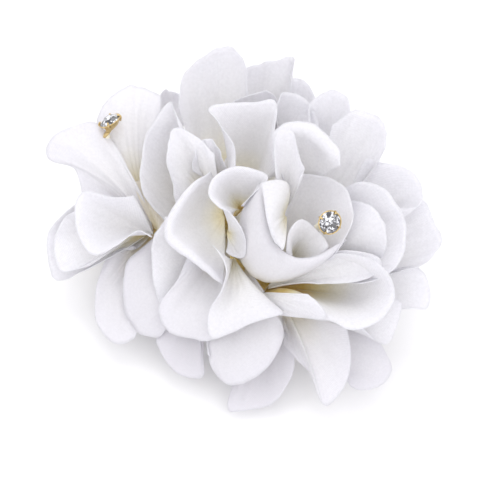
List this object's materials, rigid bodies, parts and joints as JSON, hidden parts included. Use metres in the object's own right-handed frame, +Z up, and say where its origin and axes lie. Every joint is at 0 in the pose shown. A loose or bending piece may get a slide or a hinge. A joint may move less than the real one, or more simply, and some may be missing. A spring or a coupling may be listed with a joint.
{
  "type": "flower hair clip",
  "caption": "Spray of white silk flowers with gold-set rhinestone hearts on a felt disc, carried by a sprung, toothed alligator hair clip.",
  "frame": {"origin": "under the middle of the whole spray's bounding box, at the level of a table that the clip lies on", "axes": "+Z up, away from the hair; +X towards the thumb tab, along the clip; +Y towards the top of the spray"},
  "size_m": [0.1126, 0.095, 0.0555],
  "materials": {
    "silk": "matte woven silk, cream at the petal bases",
    "felt": "pressed felt",
    "glue": "set hot glue",
    "stem_wire": "paper-wrapped wire, cream",
    "stone": "faceted, foil-backed",
    "gold": "polished, gold-plated",
    "clip_steel": "nickel-plated sheet",
    "pin_steel": "polished",
    "spring_wire": "bright drawn wire"
  },
  "bodies": {
    "spray": {"clip_hinge_pin": "pin_steel", "clip_spring": "spring_wire", "clip_upper_plate": "clip_steel", "felt_backing": "felt", "left_flower_glue": "glue", "left_flower_gold_cup": "gold", "left_flower_heart_petals": "silk", "left_flower_inner_petals": "silk", "left_flower_middle_petals": "silk", "left_flower_outer_petals": "silk", "left_flower_rhinestone": "stone", "left_flower_stem": "stem_wire", "middle_flower_glue": "glue", "middle_flower_heart_petals": "silk", "middle_flower_inner_petals": "silk", "middle_flower_middle_petals": "silk", "middle_flower_outer_petals": "silk", "middle_flower_stem": "stem_wire", "right_flower_glue": "glue", "right_flower_gold_cup": "gold", "right_flower_heart_petals": "silk", "right_flower_inner_petals": "silk", "right_flower_middle_petals": "silk", "right_flower_outer_petals": "silk", "right_flower_rhinestone": "stone", "right_flower_stem": "stem_wire"},
    "lower_jaw": {"clip_lower_jaw": "clip_steel"}
  },
  "joints": [
    {"name": "clip_opening", "type": "hinge", "parent": "spray", "child": "lower_jaw", "pos_m": [0.01339, -0.00169, 0.00637], "axis": [0, -1, 0], "range_deg": [0, 28], "stiffness_Nm_per_rad": 0.08, "springref_deg": -68.75, "deforming": ["clip_spring"]}
  ]
}
